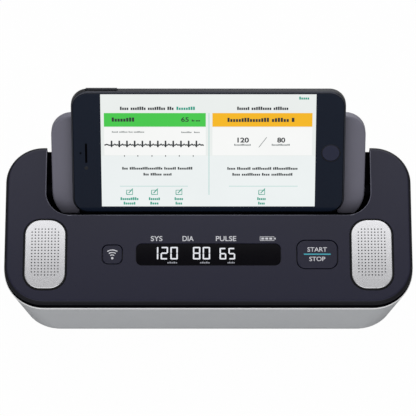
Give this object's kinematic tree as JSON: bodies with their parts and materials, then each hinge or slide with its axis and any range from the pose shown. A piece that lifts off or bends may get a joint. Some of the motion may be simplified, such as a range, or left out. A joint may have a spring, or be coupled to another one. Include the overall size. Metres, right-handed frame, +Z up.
{
  "type": "ecg home monitor",
  "caption": "Desk ECG and blood pressure monitor: sloping deck with thumb electrodes, press buttons and a number window, and a fold-down stand that holds a handset.",
  "frame": {"origin": "on the table, under the middle of the whole object", "axes": "+X to the user's right along the case, +Y to the back, +Z up"},
  "size_m": [0.2358, 0.0992, 0.1207],
  "materials": {
    "deck_plastic": "fine satin texture",
    "base_plastic": "smooth satin",
    "stand_plastic": "fine satin texture",
    "black_rubber": "matte",
    "lead_sleeve": "satin",
    "screw_steel": "bright",
    "electrode_metal": "satin plate with a dot pattern",
    "window_plastic": "polished",
    "black_plastic": "moulded",
    "board_laminate": "solder mask",
    "chip_black": "moulded",
    "shield_can": "plain",
    "air_tube": "milky",
    "cell_can": "printed sleeve, no words",
    "contact_brass": "plated",
    "handset_metal": "fine bead blast",
    "handset_glass": "polished",
    "home_button_gloss": "polished"
  },
  "bodies": {
    "case": {"upper_case": "deck_plastic", "lower_case": "base_plastic", "left_foot": "black_rubber", "right_foot": "black_rubber", "left_thumb_gasket": "black_rubber", "right_thumb_gasket": "black_rubber", "left_finger_lead": "lead_sleeve", "right_finger_lead": "lead_sleeve", "battery_lead": "lead_sleeve", "motor_lead": "lead_sleeve", "front_left_case_screw": "screw_steel", "front_right_case_screw": "screw_steel", "rear_left_case_screw": "screw_steel", "rear_right_case_screw": "screw_steel", "left_thumb_electrode": "electrode_metal", "right_thumb_electrode": "electrode_metal", "left_finger_electrode": "electrode_metal", "right_finger_electrode": "electrode_metal", "display_window": "window_plastic", "start_switch": "black_plastic", "connection_switch": "black_plastic", "display_module": "black_plastic", "pump_head": "black_plastic", "air_manifold": "black_plastic", "air_jack": "black_plastic", "dc_jack": "black_plastic", "left_hinge_bush": "black_plastic", "right_hinge_bush": "black_plastic", "main_board": "board_laminate", "processor_chip": "chip_black", "pressure_sensor": "chip_black", "buzzer": "chip_black", "radio_module": "shield_can", "release_valve": "shield_can", "pump_motor": "shield_can", "pump_tube": "air_tube", "jack_tube": "air_tube", "sensor_tube": "air_tube", "battery_1": "cell_can", "battery_2": "cell_can", "battery_3": "cell_can", "battery_4": "cell_can", "front_battery_contacts": "contact_brass", "rear_battery_contacts": "contact_brass"},
    "start_button": {"start_stop_button": "deck_plastic", "start_switch_plunger": "black_plastic"},
    "link_button": {"connection_button": "deck_plastic", "connection_switch_plunger": "black_plastic"},
    "door": {"battery_door": "base_plastic"},
    "stand": {"stand_panel": "stand_plastic", "stand_back_cover": "stand_plastic", "stand_grip_strip": "black_rubber", "left_hinge_pin": "screw_steel", "right_hinge_pin": "screw_steel"},
    "handset": {"handset_shell": "handset_metal", "handset_glass": "handset_glass", "handset_camera": "handset_glass"},
    "home_key": {"handset_home_button": "home_button_gloss"},
    "side_key": {"handset_power_key": "handset_metal"},
    "rotor": {"pump_shaft": "screw_steel"}
  },
  "joints": [
    {"name": "start_stop_press", "type": "slide", "parent": "case", "child": "start_button", "axis": [0, 0.4067, -0.9135], "range_m": [0, 0.0008], "stiffness_N_per_m": 1500},
    {"name": "connection_press", "type": "slide", "parent": "case", "child": "link_button", "axis": [0, 0.4067, -0.9135], "range_m": [0, 0.0006], "stiffness_N_per_m": 1500},
    {"name": "battery_door_swing", "type": "hinge", "parent": "case", "child": "door", "pos_m": [0, -0.02121, 0.0015], "axis": [-1, 0, 0], "range_deg": [0, 80]},
    {"name": "stand_fold", "type": "hinge", "parent": "case", "child": "stand", "pos_m": [0, 0.01634, 0.05334], "axis": [-1, 0, 0], "range_deg": [0, 48]},
    {"name": "handset_lift", "type": "slide", "parent": "stand", "child": "handset", "axis": [0, 0.309, 0.9511], "range_m": [0, 0.065]},
    {"name": "home_button_press", "type": "slide", "parent": "handset", "child": "home_key", "axis": [0, 0.9511, -0.309], "range_m": [0, 0.0004], "stiffness_N_per_m": 2000},
    {"name": "power_key_press", "type": "slide", "parent": "handset", "child": "side_key", "axis": [0, -0.309, -0.9511], "range_m": [0, 0.0004], "stiffness_N_per_m": 2000},
    {"name": "pump_turn", "type": "hinge", "parent": "case", "child": "rotor", "pos_m": [0.06, 0.02159, 0.0185], "axis": [1, 0, 0], "continuous": true}
  ]
}
